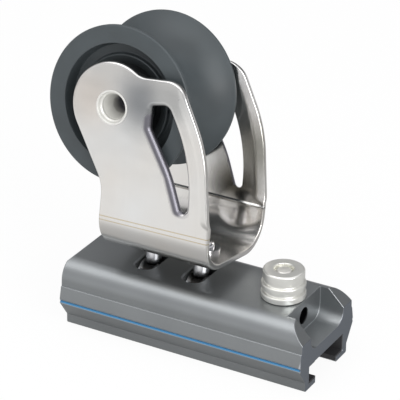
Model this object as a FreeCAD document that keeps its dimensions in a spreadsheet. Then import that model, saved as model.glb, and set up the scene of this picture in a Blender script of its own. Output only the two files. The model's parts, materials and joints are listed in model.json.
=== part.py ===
import FreeCAD, Part
import math
import os
import Sketcher

# Genoa car: a slider for 32 mm T-track with a plunger stop and a wide lead sheave in a leaning strap.
# Lengths in millimetres. X runs along the track, Y across it, Z up from the feet of the slider.

sizes = {
    # slider, an aluminium extrusion
    "body_length": 123.8,
    "body_height": 32.9,
    "foot_width": 41.0,
    "foot_height": 4.7,
    "foot_round": 1.0,
    "belt_width": 52.8,
    "belt_low": 13.2,
    "belt_high": 15.4,
    "shoulder_width": 50.2,
    "shoulder_drop": 11.6,
    "shoulder_step": 0.5,
    "shoulder_round": 0.35,
    "crown_width": 47.6,
    "crown_round": 9.0,
    "plain_end_bevel": 1.2,
    "trough_end_bevel": 7.8,
    "end_round": 0.4,
    # channel that runs on the track
    "track_width": 32.0,
    "track_play": 0.1,
    "channel_roof": 11.5,
    "lip_height": 2.4,
    "lip_gap": 20.8,
    "channel_round": 0.8,
    "liner_thickness": 0.7,
    "liner_pad_width": 6.0,
    "liner_hook": 1.6,
    "liner_setback": 0.5,
    # inlaid line along each flank
    "stripe_low": 13.6,
    "stripe_width": 1.3,
    "stripe_depth": 0.7,
    "stripe_hollow": 0.45,
    # trough at the plunger end
    "trough_length": 12.0,
    "trough_width": 32.0,
    "trough_drop": 7.4,
    "trough_round": 6.0,
    # tilting hinge inside the slider
    "rod_cover": 7.4,
    "rod_diameter": 8.0,
    "rod_tail": 15.9,
    "rod_end_gap": 1.0,
    "rod_chamfer": 0.6,
    "running_gap": 0.05,
    "rear_leg": -28.1,
    "front_leg": -3.0,
    "slot_width": 10.2,
    "slot_length": 21.0,
    "eye_room": 1.2,
    "slot_bevel": 0.6,
    "eye_width": 8.8,
    "eye_diameter": 12.6,
    "leg_diameter": 7.6,
    "flange_diameter": 10.8,
    "flange_thickness": 1.2,
    "screw_diameter": 5.0,
    "screw_depth": 8.0,
    "thread_spare": 0.6,
    "screw_head": 9.6,
    "screw_head_height": 2.8,
    "screw_head_round": 2.4,
    "screw_tip_chamfer": 0.6,
    "screw_socket": 3.0,
    "screw_socket_depth": 1.6,
    "washer_diameter": 15.0,
    "washer_thickness": 1.4,
    # strap, one bent sheet
    "lean_angle": 10.4,
    "sheet": 2.8,
    "cheek_gap": 2.9,
    "floor_height": 15.5,
    "bend_radius": 15.5,
    "strap_back": -43.3,
    "strap_front": 12.5,
    "back_slope": 31.7,
    "back_round": 18.0,
    "lobe_radius": 20.5,
    "neck_rise": 15.2,
    "neck_round": 9.0,
    "brow_x": -8.1,
    "brow_rise": 18.3,
    "brow_round": 11.0,
    "knee_x": 7.4,
    "knee_drop": 9.9,
    "knee_round": 66.0,
    "hem_rise": 21.5,
    "hem_round": 30.0,
    "edge_round": 1.2,
    "inner_edge_round": 0.5,
    # opening in each cheek, its heights taken from the axle
    "window_back_x": -21.7,
    "window_back_rise": 4.4,
    "window_top_round": 1.6,
    "window_brow_x": -13.8,
    "window_brow_rise": 6.1,
    "window_brow_round": 3.5,
    "window_front_x": 0.4,
    "window_knee_drop": 17.2,
    "window_knee_round": 72.0,
    "window_tip_drop": 48.3,
    "window_tip_round": 2.1,
    "window_waist_x": -9.4,
    "window_waist_drop": 24.5,
    "window_waist_round": 60.0,
    "window_back_drop": 5.4,
    "window_back_round": 3.0,
    "window_roll": 2.4,
    # sheave and its axle
    "axle_x": -41.3,
    "axle_height": 81.7,
    "axle_diameter": 12.0,
    "axle_bore": 7.4,
    "axle_head": 15.8,
    "axle_head_height": 0.3,
    "axle_dish": 13.2,
    "axle_dish_depth": 3.2,
    "sheave_diameter": 72.0,
    "rim_span": 44.6,
    "rim_land": 1.8,
    "rim_round": 0.8,
    "throat_depth": 12.5,
    "rim_face": 8.2,
    "groove_width": 5.5,
    "groove_draft": 1.0,
    "groove_depth": 7.0,
    "ring_width": 4.3,
    "ring_depth": 4.3,
    "ring_slope": 2.5,
    "recess_draft": 0.5,
    "recess_depth": 13.5,
    "hub_diameter": 25.0,
    "bush_diameter": 16.0,
    "thrust_gap": 0.12,
    "thrust_thickness": 1.3,
    "thrust_diameter": 22.0,
    # plunger stop
    "plunger_setback": 22.4,
    "pin_diameter": 8.0,
    "pin_tip": 4.5,
    "pin_chamfer": 1.0,
    "pin_guide": 8.4,
    "pin_shoulder_gap": 0.5,
    "pin_stem": 6.0,
    "collar_diameter": 10.6,
    "collar_height": 2.0,
    "seat_wall": 4.9,
    "sleeve_diameter": 14.0,
    "sleeve_bore": 11.4,
    "sleeve_cap": 2.0,
    "sleeve_drop": 0.4,
    "knob_lift": 0.15,
    "knob_height": 13.6,
    "knob_diameter": 20.4,
    "knob_top_diameter": 18.9,
    "knob_top_thickness": 4.1,
    "knob_groove": 1.9,
    "knob_groove_depth": 1.5,
    "knob_round": 0.65,
    "knob_top_round": 0.9,
    "knob_ring": 2.6,
    "knob_recess": 9.2,
    "knob_recess_depth": 2.4,
    "pin_head": 7.6,
    "pin_head_height": 1.7,
    "pin_head_round": 1.5,
    "spring_diameter": 10.4,
    "spring_wire": 0.8,
    "spring_turns": 4.5,
    "spring_end_gap": 0.08,
}


# A length or angle from the table, carried with the expression that binds it
class Size:
    def __init__(self, value, text=None):
        self.value = float(value)
        self.text = text or repr(float(value))

    def __add__(self, other):
        other = as_size(other)
        return Size(self.value + other.value, f"({self.text} + {other.text})")

    def __sub__(self, other):
        other = as_size(other)
        return Size(self.value - other.value, f"({self.text} - {other.text})")

    def __mul__(self, other):
        other = as_size(other)
        return Size(self.value * other.value, f"({self.text} * {other.text})")

    def __truediv__(self, other):
        other = as_size(other)
        return Size(self.value / other.value, f"({self.text} / {other.text})")

    def __neg__(self):
        return Size(-self.value, f"(0 - {self.text})")

    __radd__ = __add__
    __rmul__ = __mul__


def as_size(number):
    return number if isinstance(number, Size) else Size(number)


def cosine(angle):
    return Size(math.cos(math.radians(angle.value)), f"cos({angle.text})")


def sine(angle):
    return Size(math.sin(math.radians(angle.value)), f"sin({angle.text})")


class Table:
    pass


doc = FreeCAD.newDocument("GenoaCar")
sheet = doc.addObject("Spreadsheet::Sheet", "Sizes")
row_of = {name: row for row, name in enumerate(sizes, start=1)}
for name, row in row_of.items():
    sheet.set(f"A{row}", name)
    sheet.set(f"B{row}", repr(float(sizes[name])))
    sheet.setAlias(f"B{row}", name)
doc.recompute()

s = Table()
for name in sizes:
    setattr(s, name, Size(getattr(sheet, name), f"Sizes.{name}"))

half_belt = s.belt_width / 2
half_length = s.body_length / 2
half_channel = s.track_width / 2 + s.track_play + s.liner_thickness
inner_cheek = s.rim_span / 2 + s.cheek_gap
half_strap = inner_cheek + s.sheet
floor_top = s.floor_height + s.sheet
pivot_height = s.body_height - s.rod_cover
slot_floor = pivot_height - s.eye_diameter / 2 - s.eye_room
trough_wall = half_length - s.trough_length
plunger_x = half_length - s.plunger_setback
rod_start = s.rear_leg - s.rod_tail
collar_seat = s.channel_roof + s.seat_wall
sheave_radius = s.sheave_diameter / 2
zero = Size(0)
slack = 0.02

parts = {}


# Bodies, sketches and their bound dimensions
def body(name):
    made = doc.addObject("PartDesign::Body", name)
    made.Label = name
    parts[name] = made
    return made


def sketch(owner, name, plane, offset=None):
    made = owner.newObject("Sketcher::SketchObject", f"{owner.Name}_{name}")
    support = [feature for feature in owner.Origin.OriginFeatures if feature.Role == plane]
    made.AttachmentSupport = (support[0], [""])
    made.MapMode = "FlatFace"
    if offset is not None:
        made.setExpression("AttachmentOffset.Base.z", offset.text)
    return made


def bound(drawing, size, *constraint):
    index = drawing.addConstraint(Sketcher.Constraint(*constraint, size.value))
    drawing.setExpression(f"Constraints[{index}]", size.text)


def fix_point(drawing, geometry, position, across, up):
    bound(drawing, across, "DistanceX", -1, 1, geometry, position)
    bound(drawing, up, "DistanceY", -1, 1, geometry, position)


def vector(across, up):
    return FreeCAD.Vector(across, up, 0)


def circle(drawing, across, up, radius):
    across = as_size(across)
    up = as_size(up)
    shape = Part.Circle(vector(across.value, up.value), FreeCAD.Vector(0, 0, 1), radius.value)
    index = drawing.addGeometry(shape, False)
    fix_point(drawing, index, 3, across, up)
    bound(drawing, radius, "Radius", index)


# A closed outline: corners are (across, up) or (across, up, radius), joined by straight edges
def outline(drawing, corners):
    spots = [vector(as_size(c[0]).value, as_size(c[1]).value) for c in corners]
    count = len(corners)
    arrive = []
    leave = []
    for i, corner in enumerate(corners):
        before = (spots[i] - spots[i - 1]).normalize()
        after = (spots[(i + 1) % count] - spots[i]).normalize()
        trim = corner[2].value * math.tan(before.getAngle(after) / 2) if len(corner) > 2 else 0
        arrive.append(spots[i] - before * trim)
        leave.append(spots[i] + after * trim)
    edges = []
    for i in range(count):
        j = (i + 1) % count
        if (arrive[j] - leave[i]).dot(spots[j] - spots[i]) <= 0:
            raise RuntimeError(f"two rounds overlap in {drawing.Name}")
        edges.append(drawing.addGeometry(Part.LineSegment(leave[i], arrive[j]), False))
    for i, corner in enumerate(corners):
        into, out = edges[i - 1], edges[i]
        across, up = as_size(corner[0]), as_size(corner[1])
        if len(corner) == 2:
            drawing.addConstraint(Sketcher.Constraint("Coincident", into, 2, out, 1))
            fix_point(drawing, out, 1, across, up)
            continue
        round_corner(drawing, into, out, arrive[i], leave[i], spots[i], corner[2])
        point = drawing.addGeometry(Part.Point(spots[i]), True)
        fix_point(drawing, point, 1, across, up)
        drawing.addConstraint(Sketcher.Constraint("PointOnObject", point, 1, into))
        drawing.addConstraint(Sketcher.Constraint("PointOnObject", point, 1, out))


def round_corner(drawing, into, out, start, end, corner, radius):
    turn = (corner - start).cross(end - corner).z
    inward = (start + end) * 0.5 - corner
    half_chord = (end - start).Length / 2
    reach = inward.Length + math.sqrt(radius.value ** 2 - half_chord ** 2)
    centre = corner + inward.normalize() * reach
    first, last = (start, end) if turn > 0 else (end, start)
    angles = [math.atan2(p.y - centre.y, p.x - centre.x) for p in (first, last)]
    rim = Part.Circle(centre, FreeCAD.Vector(0, 0, 1), radius.value)
    arc = drawing.addGeometry(Part.ArcOfCircle(rim, angles[0], angles[1]), False)
    near, far = (1, 2) if turn > 0 else (2, 1)
    drawing.addConstraint(Sketcher.Constraint("Tangent", into, 2, arc, near))
    drawing.addConstraint(Sketcher.Constraint("Tangent", arc, far, out, 1))
    bound(drawing, radius, "Radius", arc)


# A slot with round ends, along the sketch's second axis
def milled_slot(drawing, across, half_run, radius):
    spots = {}
    for side in (-1, 1):
        middle = vector(across.value, side * half_run.value)
        rim = Part.Circle(middle, FreeCAD.Vector(0, 0, 1), radius.value)
        start = 0 if side > 0 else math.pi
        arc = drawing.addGeometry(Part.ArcOfCircle(rim, start, start + math.pi), False)
        fix_point(drawing, arc, 3, across, half_run * side)
        bound(drawing, radius, "Radius", arc)
        spots[side] = arc
    for side in (-1, 1):
        foot = vector(across.value + side * radius.value, -side * half_run.value)
        head = vector(foot.x, -foot.y)
        line = drawing.addGeometry(Part.LineSegment(foot, head), False)
        drawing.addConstraint(Sketcher.Constraint("Tangent", spots[-side], 2, line, 1))
        drawing.addConstraint(Sketcher.Constraint("Tangent", line, 2, spots[side], 1))


def feature(owner, kind, name, profile, **options):
    made = owner.newObject(f"PartDesign::{kind}", f"{owner.Name}_{name}")
    made.Profile = profile
    for key, value in options.items():
        if isinstance(value, Size):
            made.setExpression(key, value.text)
        else:
            setattr(made, key, value)
    return made


def pad(owner, name, profile, length, **options):
    return feature(owner, "Pad", name, profile, Length=length, **options)


def pocket(owner, name, profile, **options):
    return feature(owner, "Pocket", name, profile, **options)


# A turned piece about its own X, Y or Z: corners are (along the axis, radius)
def turned(name, corners, axis="Z", owner=None):
    owner = owner or body(name)
    plane = {"Z": "XZ_Plane", "Y": "YZ_Plane", "X": "XY_Plane"}[axis]
    drawing = sketch(owner, f"{name}_profile", plane)
    if axis == "Z":
        corners = [(corner[1], corner[0]) + tuple(corner[2:]) for corner in corners]
    outline(drawing, corners)
    reference = "V_Axis" if axis == "Z" else "H_Axis"
    feature(owner, "Revolution", f"{name}_turn", drawing, ReferenceAxis=(drawing, [reference]), Angle=360)
    return owner


# Edges of a piece that pass a test on their middle point and direction
def pick_edges(shape, test):
    names = []
    for number, edge in enumerate(shape.Edges, start=1):
        if test(edge, spots_on(edge)[1]):
            names.append(f"Edge{number}")
    return names


def dress(owner, kind, name, test, size):
    doc.recompute()
    base = owner.Tip
    names = pick_edges(base.Shape, test)
    made = owner.newObject(f"PartDesign::{kind}", f"{owner.Name}_{name}")
    made.Base = (base, names)
    made.setExpression("Radius" if kind == "Fillet" else "Size", size.text)
    return made


def close(first, second):
    return abs(first - second) < slack


def straight(edge, axis):
    if edge.Curve.TypeId != "Part::GeomLine":
        return False
    return abs(edge.Curve.Direction.dot(axis)) > 0.999


# The two ends and the middle of an edge
def spots_on(edge):
    first, last = edge.FirstParameter, edge.LastParameter
    return [edge.valueAt(first), edge.valueAt((first + last) / 2), edge.valueAt(last)]


def on_cheek(edge, face):
    return all(close(abs(spot.y), face.value) for spot in spots_on(edge))


# The edges of holes on the cheeks' outer faces that are not in an earlier shape
def mouths(earlier):
    seen = [spots_on(edge)[1] for edge in earlier.Edges]

    def test(edge, middle):
        return on_cheek(edge, half_strap) and all((middle - spot).Length > slack for spot in seen)
    return test


along_x = FreeCAD.Vector(1, 0, 0)
along_y = FreeCAD.Vector(0, 1, 0)


# Places: in the slider's frame, or in the strap's frame, which leans about the pivot rod
def seat(made, x=zero, y=zero, z=zero):
    for letter, size in (("x", x), ("y", y), ("z", z)):
        made.setExpression(f"Placement.Base.{letter}", size.text)


def lean(made, x=zero, across=zero, up=zero):
    tilt = FreeCAD.Rotation(along_x, -s.lean_angle.value)
    made.Placement = FreeCAD.Placement(FreeCAD.Vector(), tilt)
    made.setExpression("Placement.Rotation.Angle", (-s.lean_angle).text)
    y = across * cosine(s.lean_angle) + up * sine(s.lean_angle)
    z = pivot_height + up * cosine(s.lean_angle) - across * sine(s.lean_angle)
    seat(made, x, y, z)


# Slider body: the extruded section with its track channel
def half_section(side):
    shoulder = s.body_height - s.shoulder_drop
    points = [
        (s.lip_gap / 2, zero),
        (s.foot_width / 2, zero, s.foot_round),
        (s.foot_width / 2, s.foot_height),
        (half_belt, s.belt_low, s.foot_round),
        (half_belt, s.belt_high),
        (s.shoulder_width / 2, shoulder, s.shoulder_round),
        (s.shoulder_width / 2 - s.shoulder_step, shoulder),
        (s.crown_width / 2, s.body_height, s.crown_round),
    ]
    return [(point[0] * side,) + tuple(point[1:]) for point in points]


def channel_corners():
    lip = s.lip_gap / 2
    right = [
        (half_channel, s.channel_roof, s.channel_round),
        (half_channel, s.lip_height, s.channel_round),
        (lip, s.lip_height),
    ]
    left = [(-point[0],) + tuple(point[1:]) for point in reversed(right)]
    return left + right


# Edges of the sawn ends, of their bevels and of the trough's wall
def end_edge(edge, middle):
    bevel = s.trough_end_bevel if middle.x > 0 else s.plain_end_bevel
    reach = [abs(spot.x) for spot in spots_on(edge)]
    rise = [spot.z for spot in spots_on(edge)]
    on_end = all(close(x, half_length.value) for x in reach)
    on_wall = all(close(spot.x, trough_wall.value) for spot in spots_on(edge))
    slope = (half_length + s.body_height - bevel).value
    on_bevel = all(close(x + z, slope) for x, z in zip(reach, rise))
    return on_end or on_wall or on_bevel


def stripe_corners(side, outer):
    top = s.stripe_low + s.stripe_width
    inner = (half_belt - s.stripe_depth) * side
    return [(inner, s.stripe_low), (outer * side, s.stripe_low), (outer * side, top), (inner, top)]


def car_body():
    made = body("car_body")
    section = sketch(made, "section", "YZ_Plane")
    right = half_section(1)
    left = list(reversed(half_section(-1)))
    outline(section, right + left + channel_corners())
    pad(made, "extrusion", section, s.body_length, Midplane=True)

    trough = sketch(made, "trough", "YZ_Plane", trough_wall)
    half = s.trough_width / 2
    low = pivot_height - s.trough_drop
    over = s.body_height + s.crown_round
    outline(trough, [
        (-half, low, s.trough_round),
        (half, low, s.trough_round),
        (half, over),
        (-half, over),
    ])
    pocket(made, "trough_cut", trough, Type="ThroughAll", Reversed=True)

    bevels = sketch(made, "bevels", "XZ_Plane")
    for side, bevel in ((-1, s.plain_end_bevel), (1, s.trough_end_bevel)):
        inner = (half_length - bevel) * side
        outer = half_length * side
        overshoot = (half_length + bevel) * side
        outline(bevels, [
            (inner, s.body_height),
            (outer, s.body_height - bevel),
            (overshoot, s.body_height - bevel),
            (overshoot, s.body_height + bevel),
            (inner, s.body_height + bevel),
        ])
    pocket(made, "bevel_cut", bevels, Type="ThroughAll", Midplane=True)
    dress(made, "Fillet", "end_rounds", end_edge, s.end_round)

    grooves = sketch(made, "stripe_grooves", "YZ_Plane")
    for side in (-1, 1):
        outline(grooves, stripe_corners(side, half_belt + s.stripe_depth))
    pocket(made, "stripe_groove_cut", grooves, Type="ThroughAll", Midplane=True)

    slots = sketch(made, "leg_slots", "XY_Plane", s.body_height)
    radius = s.slot_width / 2
    for place in (s.rear_leg, s.front_leg):
        milled_slot(slots, place, s.slot_length / 2 - radius, radius)
    pocket(made, "leg_slot_cut", slots, Length=s.body_height - slot_floor)

    bore = sketch(made, "rod_bore", "YZ_Plane", trough_wall)
    circle(bore, 0, pivot_height, s.rod_diameter / 2 + s.running_gap)
    pocket(made, "rod_bore_cut", bore, Length=trough_wall - rod_start)

    seat_hole = sketch(made, "sleeve_seat", "XY_Plane", s.body_height)
    circle(seat_hole, plunger_x, 0, s.sleeve_diameter / 2)
    pocket(made, "sleeve_seat_cut", seat_hole, Length=s.body_height - collar_seat)

    pin_hole = sketch(made, "pin_hole", "XY_Plane", s.body_height)
    circle(pin_hole, plunger_x, 0, s.pin_guide / 2 + s.running_gap)
    pocket(made, "pin_hole_cut", pin_hole, Type="ThroughAll")

    def slot_mouth(edge, middle):
        half_run = s.slot_length / 2
        at_leg = min(abs(middle.x - s.rear_leg.value), abs(middle.x - s.front_leg.value))
        within = abs(middle.y) <= half_run.value + slack and at_leg <= radius.value + slack
        return close(middle.z, s.body_height.value) and within

    dress(made, "Chamfer", "slot_bevels", slot_mouth, s.slot_bevel)


# Slide liners: acetal channels clipped over each lip, between the slider and the track
def slide_liner(name, side):
    made = body(name)
    section = sketch(made, "section", "YZ_Plane")
    lip = s.lip_gap / 2
    skin = s.liner_thickness
    points = [
        (lip, s.lip_height - s.liner_hook),
        (lip, s.lip_height),
        (half_channel, s.lip_height, s.channel_round),
        (half_channel, s.channel_roof, s.channel_round),
        (half_channel - s.liner_pad_width, s.channel_roof),
        (half_channel - s.liner_pad_width, s.channel_roof - skin),
        (half_channel - skin, s.channel_roof - skin),
        (half_channel - skin, s.lip_height + skin),
        (lip - skin, s.lip_height + skin),
        (lip - skin, s.lip_height - s.liner_hook),
    ]
    outline(section, [(point[0] * side,) + tuple(point[1:]) for point in points])
    pad(made, "strip", section, s.body_length - s.liner_setback * 2, Midplane=True)


# Accent stripes: blue strips pressed into the grooves, with a hollowed face
def accent_stripe(name, side):
    made = body(name)
    section = sketch(made, "section", "YZ_Plane")
    corners = stripe_corners(side, half_belt)
    hollow = ((half_belt - s.stripe_hollow) * side, s.stripe_low + s.stripe_width / 2)
    outline(section, corners[:2] + [hollow] + corners[2:])
    pad(made, "strip", section, s.body_length - s.end_round * 2, Midplane=True)


# Hinge rod in its long bore, and the two legs that swing on it
def pivot_rod():
    radius = s.rod_diameter / 2
    chamfer = s.rod_chamfer
    start = rod_start + s.running_gap
    end = plunger_x - s.sleeve_diameter / 2 - s.rod_end_gap
    made = turned("pivot_rod", [
        (start, zero),
        (start, radius - chamfer),
        (start + chamfer, radius),
        (end - chamfer, radius),
        (end, radius - chamfer),
        (end, zero),
    ], axis="X")
    seat(made, z=pivot_height)


def leg(name, place):
    shank = s.leg_diameter / 2
    flange_foot = s.floor_height - s.flange_thickness
    made = turned(name, [
        (zero, zero),
        (s.floor_height, zero),
        (s.floor_height, s.flange_diameter / 2),
        (flange_foot, s.flange_diameter / 2),
        (flange_foot, shank),
        (zero, shank),
    ])
    barrel = sketch(made, "barrel", "YZ_Plane")
    circle(barrel, 0, 0, s.eye_diameter / 2)
    pad(made, "barrel_pad", barrel, s.eye_width, Midplane=True)
    hole = sketch(made, "hole", "YZ_Plane")
    circle(hole, 0, 0, s.rod_diameter / 2 + s.running_gap)
    pocket(made, "hole_cut", hole, Type="ThroughAll", Midplane=True)
    thread = sketch(made, "thread", "XY_Plane", s.floor_height)
    circle(thread, 0, 0, s.screw_diameter / 2 + s.running_gap)
    pocket(made, "thread_cut", thread, Length=s.screw_depth + s.thread_spare)
    lean(made, x=place)


def washer(name, place):
    hole = s.screw_diameter / 2 + s.running_gap * 2
    made = turned(name, [
        (floor_top, hole),
        (floor_top, s.washer_diameter / 2),
        (floor_top + s.washer_thickness, s.washer_diameter / 2),
        (floor_top + s.washer_thickness, hole),
    ])
    lean(made, x=place)


# Low round-headed screw with a hexagon socket, down through the strap's floor into the leg
def leg_screw(name, place):
    head_foot = floor_top + s.washer_thickness
    top = head_foot + s.screw_head_height
    radius = s.screw_diameter / 2
    tip = s.floor_height - s.screw_depth
    made = turned(name, [
        (tip, zero),
        (tip, radius - s.screw_tip_chamfer),
        (tip + s.screw_tip_chamfer, radius),
        (head_foot, radius),
        (head_foot, s.screw_head / 2),
        (top, s.screw_head / 2, s.screw_head_round),
        (top, zero),
    ])
    socket = sketch(made, "socket", "XY_Plane", top)
    corner = s.screw_socket / cosine(Size(30)) / 2
    outline(socket, [(corner * cosine(Size(60 * i)), corner * sine(Size(60 * i))) for i in range(6)])
    pocket(made, "socket_cut", socket, Length=s.screw_socket_depth)
    lean(made, x=place)


# Strap: both cheeks and the floor between them are one folded plate
def strap_outline():
    tangent_x = s.axle_x - s.lobe_radius * cosine(s.back_slope)
    tangent_up = s.axle_height - s.lobe_radius * sine(s.back_slope)
    waist = tangent_up - (s.strap_back - tangent_x) * cosine(s.back_slope) / sine(s.back_slope)
    return [
        (s.strap_back, s.floor_height),
        (s.strap_front, s.floor_height),
        (s.strap_front, s.floor_height + s.hem_rise, s.hem_round),
        (s.knee_x, s.axle_height - s.knee_drop, s.knee_round),
        (s.brow_x, s.axle_height + s.brow_rise, s.brow_round),
        (s.axle_x, s.axle_height + s.neck_rise),
        (s.axle_x, s.axle_height),
        (tangent_x, tangent_up),
        (s.strap_back, waist, s.back_round),
    ]


def window_outline():
    return [
        (s.window_back_x, s.axle_height + s.window_back_rise, s.window_top_round),
        (s.window_brow_x, s.axle_height + s.window_brow_rise, s.window_brow_round),
        (s.window_front_x, s.axle_height - s.window_knee_drop, s.window_knee_round),
        (s.window_front_x, s.axle_height - s.window_tip_drop, s.window_tip_round),
        (s.window_waist_x, s.axle_height - s.window_waist_drop, s.window_waist_round),
        (s.window_back_x, s.axle_height - s.window_back_drop, s.window_back_round),
    ]


def strap():
    made = body("strap")
    cheek = sketch(made, "cheek", "XZ_Plane")
    outline(cheek, strap_outline())
    pad(made, "cheek_pad", cheek, half_strap * 2, Midplane=True)
    lobe = sketch(made, "lobe", "XZ_Plane")
    circle(lobe, s.axle_x, s.axle_height, s.lobe_radius)
    pad(made, "lobe_pad", lobe, half_strap * 2, Midplane=True)

    def neck_edge(edge, middle):
        reach = math.hypot(middle.x - s.axle_x.value, middle.z - s.axle_height.value)
        upper = middle.z > s.axle_height.value and middle.x > s.axle_x.value
        return straight(edge, along_y) and upper and close(reach, s.lobe_radius.value)

    dress(made, "Fillet", "neck", neck_edge, s.neck_round)

    def bottom_edge(edge, middle):
        return straight(edge, along_x) and close(middle.z, s.floor_height.value)

    dress(made, "Fillet", "outer_bends", bottom_edge, s.bend_radius)

    inside = sketch(made, "inside", "YZ_Plane")
    over = s.axle_height + s.lobe_radius * 2
    inner_bend = s.bend_radius - s.sheet
    outline(inside, [
        (-inner_cheek, floor_top, inner_bend),
        (inner_cheek, floor_top, inner_bend),
        (inner_cheek, over),
        (-inner_cheek, over),
    ])
    pocket(made, "inside_cut", inside, Type="ThroughAll", Midplane=True)

    def rim_of(face, floor, bend):
        def test(edge, middle):
            along_bend = straight(edge, along_x) and close(middle.z, (s.floor_height + s.bend_radius).value)
            at_end = close(middle.x, s.strap_front.value) or close(middle.x, s.strap_back.value)
            in_bend = edge.Curve.TypeId == "Part::GeomCircle" and close(edge.Curve.Radius, bend.value)
            in_floor = straight(edge, along_y) and close(middle.z, floor.value)
            return (on_cheek(edge, face) and not along_bend) or (at_end and (in_bend or in_floor))
        return test

    dress(made, "Fillet", "outer_rim", rim_of(half_strap, s.floor_height, s.bend_radius), s.edge_round)
    dress(made, "Fillet", "inner_rim", rim_of(inner_cheek, floor_top, inner_bend), s.inner_edge_round)

    whole = made.Tip.Shape
    windows = sketch(made, "windows", "XZ_Plane")
    outline(windows, window_outline())
    pocket(made, "window_cut", windows, Type="ThroughAll", Midplane=True)
    dress(made, "Fillet", "window_rolls", mouths(whole), s.window_roll)

    whole = made.Tip.Shape
    holes = sketch(made, "axle_holes", "XZ_Plane")
    circle(holes, s.axle_x, s.axle_height, s.axle_diameter / 2 + s.running_gap)
    pocket(made, "axle_hole_cut", holes, Type="ThroughAll", Midplane=True)
    dress(made, "Chamfer", "countersinks", mouths(whole), (s.axle_head - s.axle_diameter) / 2)

    screws = sketch(made, "screw_holes", "XY_Plane")
    for place in (s.rear_leg, s.front_leg):
        circle(screws, place, 0, s.screw_diameter / 2 + s.running_gap)
    pocket(made, "screw_hole_cut", screws, Length=floor_top + s.sheet, Reversed=True)
    lean(made)


# Axle: a hollow rivet, its dished heads set into the countersunk cheeks
def axle():
    half = half_strap
    head = half + s.axle_head_height
    radius = s.axle_diameter / 2
    bore = s.axle_bore / 2
    throat = half - (s.axle_head - s.axle_diameter) / 2
    made = turned("axle", [
        (-head, s.axle_dish / 2),
        (-head, s.axle_head / 2),
        (-half, s.axle_head / 2),
        (-throat, radius),
        (throat, radius),
        (half, s.axle_head / 2),
        (head, s.axle_head / 2),
        (head, s.axle_dish / 2),
        (head - s.axle_dish_depth, bore),
        (s.axle_dish_depth - head, bore),
    ], axis="Y")
    lean(made, x=s.axle_x, up=s.axle_height)


# Sheave: a deep round throat for the sheet, and on each side a groove, a sloping ring, a recess and the hub
def sheave():
    rim = s.rim_span / 2
    hub = inner_cheek - s.thrust_gap * 2 - s.thrust_thickness
    bore = s.bush_diameter / 2
    throat_half = rim - s.rim_land
    groove = rim - s.groove_depth
    groove_outer = sheave_radius - s.rim_face
    ring = rim - s.ring_depth
    ring_outer = groove_outer - s.groove_width
    ring_inner = ring_outer - s.ring_width
    web = rim - s.recess_depth
    right = [
        (rim, sheave_radius, s.rim_round),
        (rim, groove_outer),
        (groove, groove_outer - s.groove_draft),
        (groove, ring_outer),
        (ring, ring_outer),
        (ring - s.ring_slope, ring_inner),
        (web, ring_inner - s.recess_draft),
        (web, s.hub_diameter / 2),
        (hub, s.hub_diameter / 2),
        (hub, bore),
    ]
    left = [(-point[0],) + tuple(point[1:]) for point in reversed(right)]
    made = turned("sheave", right + left, axis="Y")

    # the throat is an arc through both rims, as deep as throat_depth
    radius = (throat_half * throat_half + s.throat_depth * s.throat_depth) / (s.throat_depth * 2)
    centre = sheave_radius - s.throat_depth + radius
    throat = sketch(made, "throat", "YZ_Plane")
    circle(throat, 0, centre, radius)
    feature(made, "Groove", "throat_cut", throat, ReferenceAxis=(throat, ["H_Axis"]), Angle=360)
    lean(made, x=s.axle_x, up=s.axle_height)


def sheave_bush():
    half = inner_cheek - s.thrust_gap * 2 - s.thrust_thickness
    bore = s.axle_diameter / 2 + s.running_gap
    outer = s.bush_diameter / 2
    made = turned("sheave_bush", [(-half, bore), (-half, outer), (half, outer), (half, bore)], axis="Y")
    lean(made, x=s.axle_x, up=s.axle_height)


def thrust_washer(name, side):
    face = inner_cheek - s.thrust_gap
    bore = s.axle_diameter / 2 + s.running_gap * 2
    outer = s.thrust_diameter / 2
    back = face - s.thrust_thickness
    points = [(back, bore), (back, outer), (face, outer), (face, bore)]
    made = turned(name, [(point[0] * side, point[1]) for point in points], axis="Y")
    lean(made, x=s.axle_x, up=s.axle_height)


# Plunger stop: a sprung pin in a screwed sleeve, lifted by a grooved knob
def plunger_sleeve():
    top = s.body_height - s.sleeve_drop
    cap = top - s.sleeve_cap
    outer = s.sleeve_diameter / 2
    bore = s.sleeve_bore / 2
    stem = s.pin_stem / 2 + s.running_gap
    made = turned("plunger_sleeve", [
        (collar_seat, bore),
        (collar_seat, outer),
        (top, outer),
        (top, stem),
        (cap, stem),
        (cap, bore),
    ])
    seat(made, x=plunger_x)


def plunger_pin():
    knob_top = s.body_height + s.knob_lift + s.knob_height
    recess = knob_top - s.knob_recess_depth
    shoulder = s.channel_roof - s.pin_shoulder_gap
    radius = s.pin_diameter / 2
    guide = s.pin_guide / 2
    stem = s.pin_stem / 2
    head = s.pin_head / 2
    made = turned("plunger_pin", [
        (s.pin_tip, zero),
        (s.pin_tip, radius - s.pin_chamfer),
        (s.pin_tip + s.pin_chamfer, radius),
        (shoulder, radius),
        (shoulder, guide),
        (collar_seat, guide),
        (collar_seat, s.collar_diameter / 2),
        (collar_seat + s.collar_height, s.collar_diameter / 2),
        (collar_seat + s.collar_height, stem),
        (recess, stem),
        (recess, head),
        (recess + s.pin_head_height, head, s.pin_head_round),
        (recess + s.pin_head_height, zero),
    ])
    seat(made, x=plunger_x)


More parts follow.
